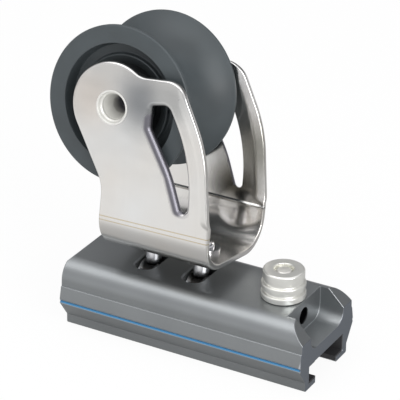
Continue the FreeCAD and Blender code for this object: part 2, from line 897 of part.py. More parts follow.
def plunger_knob():
    foot = s.body_height + s.knob_lift
    top = foot + s.knob_height
    outer = s.knob_diameter / 2
    cap = s.knob_top_diameter / 2
    deep = outer - s.knob_groove_depth
    cap_foot = top - s.knob_top_thickness
    ring_top = cap_foot - s.knob_groove
    ring_foot = ring_top - s.knob_ring
    base_top = ring_foot - s.knob_groove
    soft = s.knob_round
    recess = top - s.knob_recess_depth
    stem = s.pin_stem / 2 + s.running_gap
    made = turned("plunger_knob", [
        (foot, stem),
        (foot, outer, soft),
        (base_top, outer, soft),
        (base_top, deep, soft),
        (ring_foot, deep, soft),
        (ring_foot, outer, soft),
        (ring_top, outer, soft),
        (ring_top, deep, soft),
        (cap_foot, deep, soft / 2),
        (cap_foot, cap, soft / 2),
        (top, cap, s.knob_top_round),
        (top, s.knob_recess / 2, soft / 2),
        (recess, s.knob_recess / 2),
        (recess, stem),
    ])
    seat(made, x=plunger_x)


def plunger_spring():
    foot = collar_seat + s.collar_height
    cap = s.body_height - s.sleeve_drop - s.sleeve_cap
    coil = (s.spring_diameter - s.spring_wire) / 2
    end = s.spring_wire / 2 + s.spring_end_gap
    rise = cap - foot - end * 2
    helix = doc.addObject("Part::Helix", "spring_path")
    helix.setExpression("Height", rise.text)
    helix.setExpression("Radius", coil.text)
    helix.setExpression("Pitch", (rise / s.spring_turns).text)
    wire = doc.addObject("Part::Circle", "spring_wire_section")
    wire.setExpression("Radius", (s.spring_wire / 2).text)
    wire.Placement = FreeCAD.Placement(FreeCAD.Vector(coil.value, 0, 0), FreeCAD.Rotation(along_x, 90))
    wire.setExpression("Placement.Base.x", coil.text)
    made = doc.addObject("Part::Sweep", "plunger_spring")
    made.Sections = [wire]
    made.Spine = (helix, [])
    made.Solid = True
    made.Frenet = True
    made.Label = "plunger_spring"
    seat(made, x=plunger_x, z=foot + end)
    parts["plunger_spring"] = made


car_body()
slide_liner("slide_liner_near", -1)
slide_liner("slide_liner_far", 1)
accent_stripe("accent_stripe_near", -1)
accent_stripe("accent_stripe_far", 1)
pivot_rod()
for end, place in (("rear", s.rear_leg), ("front", s.front_leg)):
    leg(f"leg_{end}", place)
    washer(f"washer_{end}", place)
    leg_screw(f"leg_screw_{end}", place)
strap()
axle()
sheave()
sheave_bush()
thrust_washer("thrust_washer_near", -1)
thrust_washer("thrust_washer_far", 1)
plunger_sleeve()
plunger_pin()
plunger_knob()
plunger_spring()

doc.recompute()
for item in doc.Objects:
    if "Invalid" in item.State or "Error" in item.State:
        raise RuntimeError(f"{item.Name} failed to build")
for name, item in parts.items():
    shape = item.Shape
    if shape.isNull() or not shape.isValid() or len(shape.Solids) != 1:
        raise RuntimeError(f"{name} is not one valid solid")

os.makedirs("parts", exist_ok=True)
for name, item in parts.items():
    item.Shape.exportStep(f"parts/{name}.step")
    print(f"{name}: {item.Shape.Volume / 1000:.2f} cm3")
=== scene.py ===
import json
import math

import bmesh
import bpy
import numpy
from mathutils import Matrix, Vector


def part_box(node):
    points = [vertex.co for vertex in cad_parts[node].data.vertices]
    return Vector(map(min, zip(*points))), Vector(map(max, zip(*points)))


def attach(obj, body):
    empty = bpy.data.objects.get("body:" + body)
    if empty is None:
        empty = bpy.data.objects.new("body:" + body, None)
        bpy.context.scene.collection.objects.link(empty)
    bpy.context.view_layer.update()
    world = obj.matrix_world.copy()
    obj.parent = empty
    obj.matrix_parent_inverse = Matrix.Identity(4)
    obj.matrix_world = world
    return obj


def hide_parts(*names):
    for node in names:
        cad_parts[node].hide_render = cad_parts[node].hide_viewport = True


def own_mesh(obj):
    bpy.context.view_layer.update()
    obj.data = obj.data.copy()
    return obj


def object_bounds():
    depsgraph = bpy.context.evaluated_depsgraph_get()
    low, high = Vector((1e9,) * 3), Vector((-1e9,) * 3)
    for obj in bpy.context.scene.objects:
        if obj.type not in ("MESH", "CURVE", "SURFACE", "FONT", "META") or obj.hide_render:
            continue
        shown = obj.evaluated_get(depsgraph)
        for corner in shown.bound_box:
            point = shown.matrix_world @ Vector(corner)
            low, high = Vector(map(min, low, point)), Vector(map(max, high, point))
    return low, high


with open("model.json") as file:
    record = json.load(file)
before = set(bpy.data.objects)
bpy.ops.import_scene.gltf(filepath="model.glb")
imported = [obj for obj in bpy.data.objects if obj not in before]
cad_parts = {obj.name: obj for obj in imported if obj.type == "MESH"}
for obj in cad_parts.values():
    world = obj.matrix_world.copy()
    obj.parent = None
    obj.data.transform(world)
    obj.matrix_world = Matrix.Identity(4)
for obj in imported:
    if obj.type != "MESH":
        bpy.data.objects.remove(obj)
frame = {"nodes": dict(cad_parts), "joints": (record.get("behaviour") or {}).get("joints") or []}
cadLow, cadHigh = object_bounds()
nodes = frame["nodes"]
print("frame loaded:", len(nodes), "nodes")


def middleOf(node):
    low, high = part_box(node)
    return (low + high) / 2


# The strap leans on the hinge rod, so its own axes are turned with it
joints = {joint["name"]: joint for joint in frame["joints"]}
rodCentre = Vector(joints["strap_tilt"]["pos_m"])
sheaveCentre = Vector(joints["sheave_spin"]["pos_m"])
sheaveAxis = Vector(joints["sheave_spin"]["axis"])
strapUp = Vector((0, -sheaveAxis.z, sheaveAxis.y))
knobCentre = middleOf("plunger_knob")
alongTrack = Vector((1, 0, 0))
acrossTrack = Vector((0, 1, 0))
upright = Vector((0, 0, 1))
mm = 0.001

# How finely rounded and turned forms are drawn
drawing = {
    "roundStep": 6,  # degrees between two points of a rounded corner
    "softBend": 0.93,  # two steps shade as one curve where their directions agree by this cosine
    "segments": 160,  # round a turned piece
}


# A place on the strap, in its own axes and in mm
def onStrap(along, across, up):
    return rodCentre + (alongTrack * along + sheaveAxis * across + strapUp * up) * mm


# A line through corners (across, up, round) in mm, its corners rounded by short steps
def roundedLine(corners):
    line = [numpy.array(corners[0][:2], float)]
    for before, corner, after in zip(corners, corners[1:], corners[2:]):
        spot = numpy.array(corner[:2], float)
        arrive = spot - numpy.array(before[:2], float)
        leave = numpy.array(after[:2], float) - spot
        arrive /= numpy.hypot(*arrive)
        leave /= numpy.hypot(*leave)
        turn = math.atan2(arrive[0] * leave[1] - arrive[1] * leave[0], arrive @ leave)
        start = spot - arrive * corner[2] * math.tan(abs(turn) / 2)
        centre = start + numpy.array((-arrive[1], arrive[0])) * corner[2] * math.copysign(1, turn)
        reach = start - centre
        count = max(1, round(math.degrees(abs(turn)) / drawing["roundStep"])) if corner[2] else 0
        for i in range(count + 1):
            swing = turn * i / max(count, 1)
            cosine, sine = math.cos(swing), math.sin(swing)
            line.append(centre + (reach[0] * cosine - reach[1] * sine, reach[0] * sine + reach[1] * cosine))
    line.append(numpy.array(corners[-1][:2], float))
    return numpy.array(line)


# A turned piece, smooth all round. Its line (along, radius, round) in mm runs forwards along the outside and
# ends where it starts, or on the axis. Rounded corners shade softly, and the others stay crisp.
def turnedMesh(name, corners, centre, axis, segments=drawing["segments"]):
    line = roundedLine(corners)
    closed = numpy.allclose(line[0], line[-1])
    steps = numpy.diff(line, axis=0)
    lengths = numpy.hypot(*steps.T)
    outward = numpy.stack((-steps[:, 1], steps[:, 0]), axis=1) / lengths[:, None]
    starts, ends = outward.copy(), outward.copy()
    for i in range(0 if closed else 1, len(steps)):
        if outward[i - 1] @ outward[i] > drawing["softBend"]:
            both = outward[i - 1] * lengths[i - 1] + outward[i] * lengths[i]
            starts[i] = ends[i - 1] = both / numpy.hypot(*both)
    if closed:
        line = line[:-1]
    sideways = axis.cross(alongTrack).normalized()
    turn = numpy.array((axis, sideways.cross(axis), sideways))
    angles = numpy.arange(segments) * 2 * math.pi / segments
    around = numpy.stack((numpy.cos(angles), numpy.sin(angles)), axis=1)
    onAxis = 0.001  # a smaller radius makes one point, not a ring
    points = []
    rows = []
    for along, radius in line:
        ring = around if radius > onAxis else around[:1] * 0
        rows.append((len(points), len(ring)))
        points += [(along, radius * cosine, radius * sine) for cosine, sine in ring]
    faces = []
    shades = []
    for i in range(len(steps)):
        first, last = rows[i], rows[(i + 1) % len(line)]
        for j in range(segments):
            k = (j + 1) % segments
            loop = [(first, j, starts[i]), (first, k, starts[i]), (last, k, ends[i]), (last, j, ends[i])]
            if first[1] == 1:
                loop = loop[1:]
            elif last[1] == 1:
                loop = loop[:3]
            faces.append([row[0] + column % row[1] for row, column, shade in loop])
            shades += [(shade[0], *(around[column] * shade[1])) for row, column, shade in loop]
    mesh = bpy.data.meshes.new(name)
    mesh.from_pydata((numpy.array(points) * mm @ turn + numpy.array(centre)).tolist(), [], faces)
    mesh.polygons.foreach_set("use_smooth", [True] * len(faces))
    mesh.normals_split_custom_set((numpy.array(shades) @ turn).tolist())
    return mesh


# A finer piece, dressed, in the place of a node of the frame
def newPiece(name, mesh, body, node, finish):
    piece = bpy.data.objects.new(name, mesh)
    bpy.context.scene.collection.objects.link(piece)
    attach(piece, body)
    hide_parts(node)
    mesh.materials.clear()
    mesh.materials.append(finish)
    return piece


# Camera, at the photograph's angle
photoCamera = {
    "azimuth": 29.132,
    "elevation": 26.792,
    "roll": 0.588,
    "distance": 1.03907,
    "lens": 209.87,
    "sensor": 36,
    "clip": (0.05, 40),
    "aim": (-0.003407, 0, 0.069414),
}


def makeCamera(settings):
    azimuth = math.radians(settings["azimuth"])
    elevation = math.radians(settings["elevation"])
    roll = math.radians(settings["roll"])
    back = Vector((math.sin(azimuth) * math.cos(elevation), -math.cos(azimuth) * math.cos(elevation),
                   math.sin(elevation)))
    level = Vector((math.cos(azimuth), math.sin(azimuth), 0))
    plumb = back.cross(level)
    right = math.cos(roll) * level + math.sin(roll) * plumb
    up = math.cos(roll) * plumb - math.sin(roll) * level
    data = bpy.data.cameras.new("photoCamera")
    data.lens = settings["lens"]
    data.sensor_width = settings["sensor"]
    data.clip_start, data.clip_end = settings["clip"]
    camera = bpy.data.objects.new("photoCamera", data)
    bpy.context.scene.collection.objects.link(camera)
    turn = Matrix((right, up, back)).transposed().to_4x4()
    camera.matrix_world = Matrix.Translation(Vector(settings["aim"]) + back * settings["distance"]) @ turn
    bpy.context.scene.camera = camera


makeCamera(photoCamera)
print("camera placed")


# Small helpers for node trees. A value is a plain one or another node's output.
def setInput(tree, socket, value):
    if isinstance(value, bpy.types.NodeSocket):
        tree.links.new(value, socket)
    else:
        socket.default_value = value


def addNode(tree, kind, values=None, **settings):
    node = tree.nodes.new(kind)
    for name, value in settings.items():
        setattr(node, name, value)
    for name, value in (values or {}).items():
        setInput(tree, node.inputs[name], value)
    return node


def calculate(tree, operation, *values, clamp=False):
    node = addNode(tree, "ShaderNodeMath", dict(enumerate(values)), operation=operation, use_clamp=clamp)
    return node.outputs[0]


# The same for vectors, with a vector or a number as the result
def calculateVector(tree, operation, *values):
    node = addNode(tree, "ShaderNodeVectorMath", dict(enumerate(values)), operation=operation)
    return node.outputs["Vector" if operation in ("SUBTRACT", "MULTIPLY", "CROSS_PRODUCT") else "Value"]


# A value that runs between the ends, spread over another span and kept within it
def spread(tree, value, span, ends=(0.0, 1.0), curve="LINEAR"):
    values = {"Value": value, "From Min": ends[0], "From Max": ends[1], "To Min": span[0], "To Max": span[1]}
    return addNode(tree, "ShaderNodeMapRange", values, interpolation_type=curve).outputs["Result"]


def blendColours(tree, factor, first, second):
    node = addNode(tree, "ShaderNodeMix", {"Factor": factor}, data_type="RGBA")
    for label, value in (("A", first), ("B", second)):
        setInput(tree, node.inputs[label], (*value, 1) if isinstance(value, tuple) else value)
    return node.outputs["Result"]


def objectPlace(tree):
    return addNode(tree, "ShaderNodeTexCoord").outputs["Object"]


def addNoise(tree, place, scale, detail, roughness):
    values = {"Vector": place, "Scale": scale, "Detail": detail, "Roughness": roughness}
    return addNode(tree, "ShaderNodeTexNoise", values).outputs["Fac"]


def newGroup(name, result, **inputs):
    group = bpy.data.node_groups.new(name, "ShaderNodeTree")
    for label, value in inputs.items():
        kind = "NodeSocketVector" if isinstance(value, tuple) else "NodeSocketFloat"
        socket = group.interface.new_socket(label, in_out="INPUT", socket_type=kind)
        socket.default_value = value
    group.interface.new_socket(result, in_out="OUTPUT", socket_type="NodeSocketFloat")
    return group, group.nodes.new("NodeGroupInput").outputs, group.nodes.new("NodeGroupOutput").inputs


def useGroup(tree, group, **values):
    return addNode(tree, "ShaderNodeGroup", values, node_tree=group).outputs[0]


# Effects that several finishes share, each with one mask or value from 0 to 1. Lengths are in metres.

# A mask along edges, in patches, where finishes paint highlights and shade
def makeEdgeShadingMask():
    group, start, end = newGroup("edgeShadingMask", "Mask", Radius=0.0006, Gain=6.0, Breakup=400.0)
    bevel = addNode(group, "ShaderNodeBevel", {"Radius": start["Radius"]}, samples=6)
    normal = addNode(group, "ShaderNodeNewGeometry").outputs["Normal"]
    agreed = calculateVector(group, "DOT_PRODUCT", bevel.outputs["Normal"], normal)
    noise = addNoise(group, objectPlace(group), start["Breakup"], 3.0, 0.6)
    bent = calculate(group, "SUBTRACT", 1.0, agreed)
    strong = calculate(group, "MULTIPLY", bent, start["Gain"])
    patches = calculate(group, "MULTIPLY", noise, 2.0)
    setInput(group, end["Mask"], calculate(group, "MULTIPLY", strong, patches, clamp=True))
    return group


def makeFineGrain():
    group, start, end = newGroup("fineGrain", "Value", Scale=2000.0, Detail=4.0)
    setInput(group, end["Value"], addNoise(group, objectPlace(group), start["Scale"], start["Detail"], 0.65))
    return group


# Lines left by drawing or rolling: Density is low along the lines and high across them
def makeDrawnLines():
    group, start, end = newGroup("drawnLines", "Value", Density=(10.0, 900.0, 900.0))
    stretched = calculateVector(group, "MULTIPLY", objectPlace(group), start["Density"])
    setInput(group, end["Value"], addNoise(group, stretched, 1.0, 5.0, 0.7))
    return group


# Rings left by a lathe or by a mould that was turned
def makeTurnedRings():
    group, start, end = newGroup("turnedRings", "Value", Centre=(0.0, 0.0, 0.0), Axis=(0.0, 0.0, 1.0),
                                 Density=3000.0)
    offset = calculateVector(group, "SUBTRACT", objectPlace(group), start["Centre"])
    radius = calculateVector(group, "LENGTH", calculateVector(group, "CROSS_PRODUCT", offset, start["Axis"]))
    along = calculateVector(group, "DOT_PRODUCT", offset, start["Axis"])
    both = addNode(group, "ShaderNodeCombineXYZ", {
        "X": calculate(group, "MULTIPLY", radius, start["Density"]),
        "Y": calculate(group, "MULTIPLY", along, start["Density"]),
    })
    setInput(group, end["Value"], addNoise(group, both.outputs["Vector"], 1.0, 3.0, 0.6))
    return group


# Broad soft patches, as from handling and polishing by hand
def makeSoftPatches():
    group, start, end = newGroup("softPatches", "Value", Size=0.02, Contrast=1.0)
    scale = calculate(group, "DIVIDE", 1.0, start["Size"])
    noise = addNoise(group, objectPlace(group), scale, 2.0, 0.5)
    wide = calculate(group, "MULTIPLY", calculate(group, "SUBTRACT", noise, 0.5), start["Contrast"])
    setInput(group, end["Value"], calculate(group, "ADD", wide, 0.5, clamp=True))
    return group


# A round spot that fades out from its centre to its radius, later and sharper with more Gain
def makeSoftSpot():
    group, start, end = newGroup("softSpot", "Value", Centre=(0.0, 0.0, 0.0), Radius=0.01, Gain=1.0)
    gap = calculateVector(group, "DISTANCE", objectPlace(group), start["Centre"])
    share = calculate(group, "DIVIDE", gap, start["Radius"])
    fade = spread(group, share, (0.0, 1.0), (1.0, 0.0), "SMOOTHERSTEP")
    setInput(group, end["Value"], calculate(group, "MULTIPLY", fade, start["Gain"], clamp=True))
    return group


# A thin straight line across a surface: Offset is where it lies along Direction, and Width how far it fades
def makeThinLine():
    group, start, end = newGroup("thinLine", "Value", Direction=(0.0, 0.0, 1.0), Offset=0.0, Width=0.0005,
                                 Gain=1.0)
    along = calculateVector(group, "DOT_PRODUCT", objectPlace(group), start["Direction"])
    gap = calculate(group, "ABSOLUTE", calculate(group, "SUBTRACT", along, start["Offset"]))
    near = calculate(group, "SUBTRACT", 1.0, calculate(group, "DIVIDE", gap, start["Width"]))
    setInput(group, end["Value"], calculate(group, "MULTIPLY", near, start["Gain"], clamp=True))
    return group


edgeShadingMask = makeEdgeShadingMask()
fineGrain = makeFineGrain()
drawnLines = makeDrawnLines()
turnedRings = makeTurnedRings()
softPatches = makeSoftPatches()
softSpot = makeSoftSpot()
thinLine = makeThinLine()
print("shared effects made")


# A thin line that lies across the direction and passes through the place
def lineThrough(tree, place, direction, width, gain=1.0):
    return useGroup(tree, thinLine, Direction=direction, Offset=direction.dot(place), Width=width, Gain=gain)


def newFinish(name, metallic=0.0):
    material = bpy.data.materials.new(name)
    material.use_nodes = True
    shader = material.node_tree.nodes["Principled BSDF"]
    shader.inputs["Metallic"].default_value = metallic
    return material, material.node_tree, shader


# The last step of each finish. Heights are pairs of a value from 0 to 1 and how high it stands, in metres.
def setSurface(tree, shader, colour, roughness, heights):
    setInput(tree, shader.inputs["Base Color"], colour)
    setInput(tree, shader.inputs["Roughness"], roughness)
    values = {"Strength": 1.0}
    for value, high in heights:
        node = addNode(tree, "ShaderNodeBump", dict(values, Distance=high, Height=value))
        values["Normal"] = node.outputs["Normal"]
    setInput(tree, shader.inputs["Normal"], values["Normal"])


def dress(names, material):
    for name in names:
        nodes[name].material_slots[0].material = material


# Slider body: hard anodised extrusion, satin, with painted highlights on its edges
carBody = {
    "colour": (0.330, 0.345, 0.352),
    "deepToneAndShade": (0.285, 0.300, 0.308),
    "edgeHighlightColour": (0.50, 0.52, 0.53),
    "metallic": 0.92,
    "roughness": (0.33, 0.45),
    "lines": {"Density": (6, 1500, 1500)},
    "lineHeight": 0.000004,
    "grain": {"Scale": 2600},
    "grainHeight": 0.000006,
    "patches": {"Size": 0.03, "Contrast": 1.6},
    "edgeShading": {"Radius": 0.0007, "Gain": 3.0, "Breakup": 300},
    "sawnColour": (0.205, 0.228, 0.262),
    "sawnDepth": 0.0003,
    "cornerLines": [((1, -1, 0), (61.9, -26.4, 19)), ((1, 1, 0), (61.9, 26.4, 19))],
    "cornerWidth": 0.0010,
    "cornerReach": 0.013,
    "cornerGain": 3.0,
    "cornerHighlightColour": (0.80, 0.83, 0.87),
    "grooveEdges": [(0, -26.4, 13.4), (0, 26.4, 13.4)],
    "grooveHeight": 0.00045,
    "grooveDepth": 0.0012,
    "grooveColour": (0.52, 0.60, 0.67),
    "boreMouth": (48.0, 0, 25.5),
    "boreRadius": 0.0049,
    "boreGain": 40.0,
    "boreShadeColour": (0.010, 0.011, 0.013),
}


def makeBodyFinish(settings):
    material, tree, shader = newFinish("hardAnodised", settings["metallic"])
    lines = useGroup(tree, drawnLines, **settings["lines"])
    grain = useGroup(tree, fineGrain, **settings["grain"])
    patches = useGroup(tree, softPatches, **settings["patches"])
    edgeShading = useGroup(tree, edgeShadingMask, **settings["edgeShading"])
    colour = blendColours(tree, patches, settings["deepToneAndShade"], settings["colour"])
    # painted highlight along the edges
    colour = blendColours(tree, edgeShading, colour, settings["edgeHighlightColour"])
    # the sawn end at the plunger is darker, and a painted highlight runs down its corners
    sawn = lineThrough(tree, cadHigh, alongTrack, settings["sawnDepth"])
    colour = blendColours(tree, sawn, colour, settings["sawnColour"])
    for direction, corner in settings["cornerLines"]:
        place = Vector(corner) * mm
        line = lineThrough(tree, place, Vector(direction), settings["cornerWidth"])
        near = useGroup(tree, softSpot, Centre=place, Radius=settings["cornerReach"],
                        Gain=settings["cornerGain"])
        colour = blendColours(tree, calculate(tree, "MULTIPLY", line, near), colour, settings["cornerHighlightColour"])
    # the lower edge of each stripe's groove catches the light
    for edge in settings["grooveEdges"]:
        place = Vector(edge) * mm
        low = lineThrough(tree, place, upright, settings["grooveHeight"])
        flank = lineThrough(tree, place, acrossTrack, settings["grooveDepth"])
        colour = blendColours(tree, calculate(tree, "MULTIPLY", low, flank), colour, settings["grooveColour"])
    # painted shade: the rod's bore is darkened to near black round its mouth
    boreShade = useGroup(tree, softSpot, Centre=Vector(settings["boreMouth"]) * mm, Radius=settings["boreRadius"],
                     Gain=settings["boreGain"])
    colour = blendColours(tree, boreShade, colour, settings["boreShadeColour"])
    setSurface(tree, shader, colour, spread(tree, lines, settings["roughness"]),
               [(lines, settings["lineHeight"]), (grain, settings["grainHeight"])])
    return material


dress(["car_body", "plunger_sleeve"], makeBodyFinish(carBody))
print("slider body dressed")


# Strap: the folded plate, with the front edge of each cheek turned a little outwards. Lengths are in mm.
strapPlate = {
    "frontEdge": [(12.5, 37.6, 0), (7.4, 71.8, 66.0), (-8.1, 100.0, 11.0), (-12.0, 99.7, 0)],
    "bendWidth": 1.8,
    "lipWidth": 3.2,
    "lipSlope": 0.30,
    "footRound": 4.0,
    "headEnd": 9.0,  # where the lip has run out, before the end of the front edge
    "headTaper": 8.0,
    "headCurve": 0.6,
    "gridX": (-25.6, 12.4, 0.7),
    "gridUp": (34.0, 99.0, 1.2),
    "flatDepth": 24.0,
    "windowLine": [(-21.7, 80.0), (-21.7, 76.3), (-9.4, 57.2), (-3.6, 43.0)],
    "rollReach": 2.8,
    "rollFade": 1.2,
    "rollDepth": 25.5,
    "wallGap": 0.35,
}


# How far each spot is from a line, how far along the line that is, and the line's length
def nearLine(line, spots):
    best = numpy.full(len(spots), numpy.inf)
    run = numpy.zeros(len(spots))
    walked = 0.0
    for start, end in zip(line, line[1:]):
        along = end - start
        length = numpy.hypot(*along)
        share = numpy.clip((spots - start) @ along / length ** 2, 0, 1)
        gap = numpy.hypot(*(spots - start - share[:, None] * along).T)
        nearer = gap < best
        best[nearer] = gap[nearer]
        run[nearer] = walked + share[nearer] * length
        walked += length
    return best, run, walked


# How far the lip stands out at each (x, up)
def lipHeights(plate, edge, spots):
    best, run, walked = nearLine(edge, spots)
    foot = numpy.clip(run / plate["footRound"], 0, 1)
    head = numpy.clip((walked - plate["headEnd"] - run) / plate["headTaper"], 0, 1)
    full = plate["bendWidth"] + plate["lipWidth"]
    width = numpy.sqrt(1 - (1 - foot) ** 2) * head ** plate["headCurve"] * full
    inside = numpy.clip(width - best, 0, None)
    curved = inside ** 2 / (2 * plate["bendWidth"])
    straight = inside - plate["bendWidth"] / 2
    return plate["lipSlope"] * numpy.where(inside < plate["bendWidth"], curved, straight)


def makeStrapPlate(plate, finish):
    mesh = nodes["strap"].data.copy()
    kept = mesh.attributes.new("keptNormal", "FLOAT_VECTOR", "CORNER")
    kept.data.foreach_set("vector", [v for corner in mesh.corner_normals for v in corner.vector])
    cut = bmesh.new()
    cut.from_mesh(mesh)
    for direction, (first, last, step) in ((alongTrack, plate["gridX"]), (strapUp, plate["gridUp"])):
        for i in range(int((last - first) / step) + 1):
            place = rodCentre + direction * (first + i * step) * mm
            bmesh.ops.bisect_plane(cut, geom=cut.verts[:] + cut.edges[:] + cut.faces[:], dist=1e-7,
                                   plane_co=place, plane_no=direction)
    cut.to_mesh(mesh)
    cut.free()
    # in the strap's own axes
    turn = numpy.array([alongTrack, sheaveAxis, strapUp])
    points = numpy.array([v.co for v in mesh.vertices])
    local = (points - numpy.array(rodCentre)) @ turn.T / mm
    depth = numpy.abs(local[:, 1])
    side = numpy.where(depth > plate["flatDepth"], numpy.sign(local[:, 1]), 0)
    edge = roundedLine(plate["frontEdge"])
    flat = local[:, [0, 2]]
    high = lipHeights(plate, edge, flat)
    tiny = 0.02
    slopeX = (lipHeights(plate, edge, flat + (tiny, 0)) - high) / tiny * side
    slopeUp = (lipHeights(plate, edge, flat + (0, tiny)) - high) / tiny * side
    # the window's rolled edge, made duller and painted in shade, and the window's own wall beside it
    gap = nearLine(numpy.array(plate["windowLine"]), flat)[0]
    dull = numpy.clip((plate["rollReach"] - gap) / plate["rollFade"] + 0.5, 0, 1)
    dull *= (depth > plate["rollDepth"]) | (gap < plate["wallGap"])
    mesh.attributes.new("dullShadedRoll", "FLOAT", "POINT").data.foreach_set("value", dull)
    local[:, 1] += high * side
    moved = local * mm @ turn + numpy.array(rodCentre)
    mesh.vertices.foreach_set("co", moved.ravel())
    # the kept shading follows the lip
    normals = numpy.zeros(len(mesh.loops) * 3)
    mesh.attributes["keptNormal"].data.foreach_get("vector", normals)
    normals = normals.reshape(-1, 3) @ turn.T
    corners = numpy.array([loop.vertex_index for loop in mesh.loops])
    outward = normals[:, 1].copy()
    normals[:, 0] -= outward * slopeX[corners]
    normals[:, 2] -= outward * slopeUp[corners]
    normals /= numpy.linalg.norm(normals, axis=1)[:, None]
    mesh.attributes.remove(mesh.attributes["keptNormal"])
    mesh.polygons.foreach_set("use_smooth", [True] * len(mesh.polygons))
    mesh.normals_split_custom_set([tuple(n) for n in normals @ turn])
    mesh.update()
    newPiece("strapPlate", mesh, "bracket", "strap", finish)
    print("strap plate made:", len(mesh.polygons), "faces, lip", round(high.max(), 2), "mm")


# Polished stainless, with soft waves from the polishing wheel, and bulges and marks from the press at the
# bends. Places are on the strap, in mm.
strapSteel = {
    "colour": (0.80, 0.80, 0.79),
    "warmColour": (0.77, 0.74, 0.70),
    "edgeShadeColour": (0.62, 0.62, 0.61),
    "roughness": (0.16, 0.30),
    "lines": {"Density": (2600, 30, 30)},
    "lineHeight": 0.000003,
    "waves": {"Size": 0.022, "Contrast": 1.0},
    "waveHeight": 0.0003,
    "patches": {"Size": 0.035, "Contrast": 2.4},
    "edgeShading": {"Radius": 0.0005, "Gain": 2.0, "Breakup": 500},
    "edgeDullness": 0.25,
    "rollShadeColour": (0.205, 0.200, 0.225),
    "rollDullness": 0.16,
    "bulges": [((1, 27, 32), 0.013, 0.0024)],
    "reflectionPatches": [
        ((-26, -28, 87), 0.023, (0.32, 0.33, 0.34)), ((-12, -28, 90), 0.016, (0.54, 0.54, 0.53)),
        ((-52, -28, 84), 0.022, (0.76, 0.71, 0.66)),
    ],
    "innerFace": (0, 25.2, 0),
    "innerDepth": 0.0022,
    "innerGain": 2.0,
    "innerReflectionPatches": [((-3, 25, 43), 0.019, (0.15, 0.14, 0.115)), ((8, 25, 62), 0.022, (0.42, 0.41, 0.37))],
    "innerCrease": (35.5, 0.0009, 0.0005),
    "pressMarks": [(32.6, 0.027, 0.00045), (30.5, 0.021, 0.0004)],
    "markColour": (0.60, 0.51, 0.36),
}


def makeStrapFinish(settings):
    material, tree, shader = newFinish("polishedStainless", 1.0)
    lines = useGroup(tree, drawnLines, **settings["lines"])
    waves = useGroup(tree, softPatches, **settings["waves"])
    patches = useGroup(tree, softPatches, **settings["patches"])
    edgeShading = useGroup(tree, edgeShadingMask, **settings["edgeShading"])
    colour = blendColours(tree, patches, settings["warmColour"], settings["colour"])
    # painted shade darkens the edges, toning down their highlight
    colour = blendColours(tree, edgeShading, colour, settings["edgeShadeColour"])
    # painted reflections and shade: the first patches lie on the near cheek, and the inner ones on the inside
    # of the far cheek
    inside = lineThrough(tree, onStrap(*settings["innerFace"]), sheaveAxis, settings["innerDepth"],
                         settings["innerGain"])
    for place, radius, tone in settings["reflectionPatches"]:
        spot = useGroup(tree, softSpot, Centre=onStrap(*place), Radius=radius)
        colour = blendColours(tree, spot, colour, tone)
    for place, radius, tone in settings["innerReflectionPatches"]:
        spot = useGroup(tree, softSpot, Centre=onStrap(*place), Radius=radius)
        colour = blendColours(tree, calculate(tree, "MULTIPLY", spot, inside), colour, tone)
    heights = [(waves, settings["waveHeight"]), (lines, settings["lineHeight"])]
    for place, radius, high in settings["bulges"]:
        heights.append((useGroup(tree, softSpot, Centre=onStrap(*place), Radius=radius), high))
    # the marks rise by a slope towards the rear, and don't reach the inside
    outside = calculate(tree, "SUBTRACT", 1.0, inside)
    for up, slope, width in settings["pressMarks"]:
        mark = lineThrough(tree, onStrap(0, 0, up), strapUp - alongTrack * slope, width)
        mark = calculate(tree, "MULTIPLY", mark, outside)
        colour = blendColours(tree, mark, colour, settings["markColour"])
    # the press left a ridge inside the far cheek, where its bend starts, and painted shade darkens the line
    # along it as on the edges
    up, width, high = settings["innerCrease"]
    ridge = calculate(tree, "MULTIPLY", lineThrough(tree, onStrap(0, 0, up), strapUp, width), inside)
    colour = blendColours(tree, ridge, colour, settings["edgeShadeColour"])
    heights.append((ridge, high))
    # painted shade: the rolled edge is darkened where it mirrors dark surroundings
    roll = addNode(tree, "ShaderNodeAttribute", attribute_name="dullShadedRoll").outputs["Fac"]
    colour = blendColours(tree, roll, colour, settings["rollShadeColour"])
    # edges and the roll are duller than the faces
    rollDull = calculate(tree, "MULTIPLY", roll, settings["rollDullness"])
    edgeDull = calculate(tree, "MULTIPLY", edgeShading, settings["edgeDullness"])
    dull = calculate(tree, "ADD", rollDull, edgeDull)
    rough = calculate(tree, "ADD", spread(tree, lines, settings["roughness"]), dull)
    setSurface(tree, shader, colour, rough, heights)
    return material


makeStrapPlate(strapPlate, makeStrapFinish(strapSteel))


# Turned and drawn steel pieces
turnedSteel = {
    "metallic": 1.0,
    "colour": (0.66, 0.655, 0.65),
    "darkColour": (0.48, 0.475, 0.47),
    "roughness": (0.16, 0.34),
    "patches": {"Size": 0.006, "Contrast": 1.6},
    "ringDensity": 2600,
    "ringHeight": 0.000003,
    "spotGain": 6.0,
}
legSteel = dict(turnedSteel, colour=(0.92, 0.92, 0.93), darkColour=(0.74, 0.74, 0.76), roughness=(0.12, 0.26))

# Painted shade on the rod's end inside its bore and on each leg's eye inside its slot: how far it reaches,
# and its colour
holeShade = {
    "rodEnd": (0.012, (0.02, 0.02, 0.022)),
    "legEye": (0.0105, (0.035, 0.034, 0.033)),
}


def makeTurnedFinish(name, settings, centre, axis, darkSpot=None):
    material, tree, shader = newFinish(name, settings["metallic"])
    rings = useGroup(tree, turnedRings, Centre=centre, Axis=axis, Density=settings["ringDensity"])
    patches = useGroup(tree, softPatches, **settings["patches"])
    colour = blendColours(tree, patches, settings["darkColour"], settings["colour"])
    if darkSpot:
        place, radius, tone = darkSpot
        spot = useGroup(tree, softSpot, Centre=place, Radius=radius, Gain=settings["spotGain"])
        colour = blendColours(tree, spot, colour, tone)
    setSurface(tree, shader, colour, spread(tree, rings, settings["roughness"]),
               [(rings, settings["ringHeight"])])
    return material


